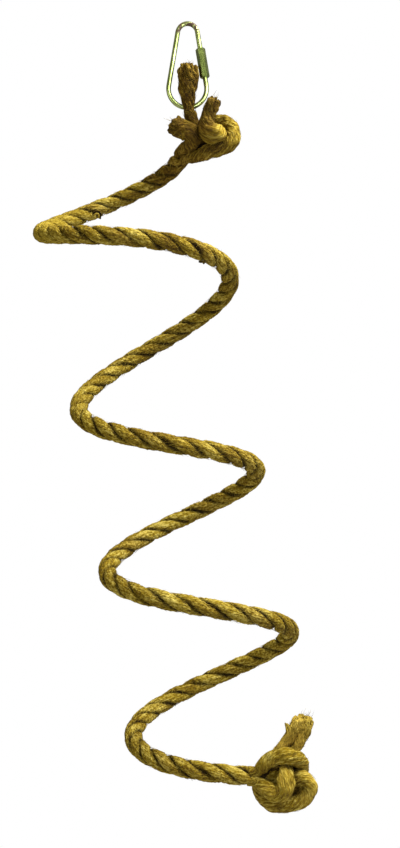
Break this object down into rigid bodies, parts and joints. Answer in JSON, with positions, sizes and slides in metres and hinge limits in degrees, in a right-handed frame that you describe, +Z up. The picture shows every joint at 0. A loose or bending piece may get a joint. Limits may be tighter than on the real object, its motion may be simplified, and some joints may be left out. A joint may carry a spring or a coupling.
{
  "type": "spiral rope bird perch",
  "caption": "Hanging cage perch of thick laid rope wound in an open left-handed spiral, knotted at both ends and carried by a pear-shaped quick link.",
  "frame": {"origin": "inside of the narrow top bow of the quick link, where a hook bears", "axes": "+Z up, along the way the perch hangs; +X to the right seen from the front, in the plane of the link; +Y away from the viewer"},
  "size_m": [0.2005, 0.1489, 0.5556],
  "materials": {
    "plated_steel": "dull bright plating",
    "bare_steel": "drawn, hidden in the rope",
    "rope_fibre": "coarse natural fibre, dry, hairy at the cut ends"
  },
  "bodies": {
    "link": {"link_body": "plated_steel"},
    "nut": {"link_nut": "plated_steel"},
    "perch": {"head_strand_eye": "rope_fibre", "head_strand_left": "rope_fibre", "head_strand_right": "rope_fibre", "core_wire": "bare_steel", "rope_coil": "rope_fibre"},
    "foot": {"foot_strand_over": "rope_fibre", "foot_strand_under": "rope_fibre", "foot_strand_front": "rope_fibre"}
  },
  "joints": [
    {"name": "nut_travel", "type": "slide", "parent": "link", "child": "nut", "axis": [-0.165, 0, 0.9863], "range_m": [0, 0.01]},
    {"name": "perch_swing", "type": "hinge", "parent": "link", "child": "perch", "pos_m": [0, 0, -0.05925], "axis": [1, 0, 0], "range_deg": [-60, 60]},
    {"name": "coil_stretch", "type": "slide", "parent": "perch", "child": "foot", "axis": [0, 0, -1], "range_m": [-0.03, 0.08], "stiffness_N_per_m": 40, "springref_m": -0.004, "deforming": ["rope_coil", "core_wire"]}
  ]
}
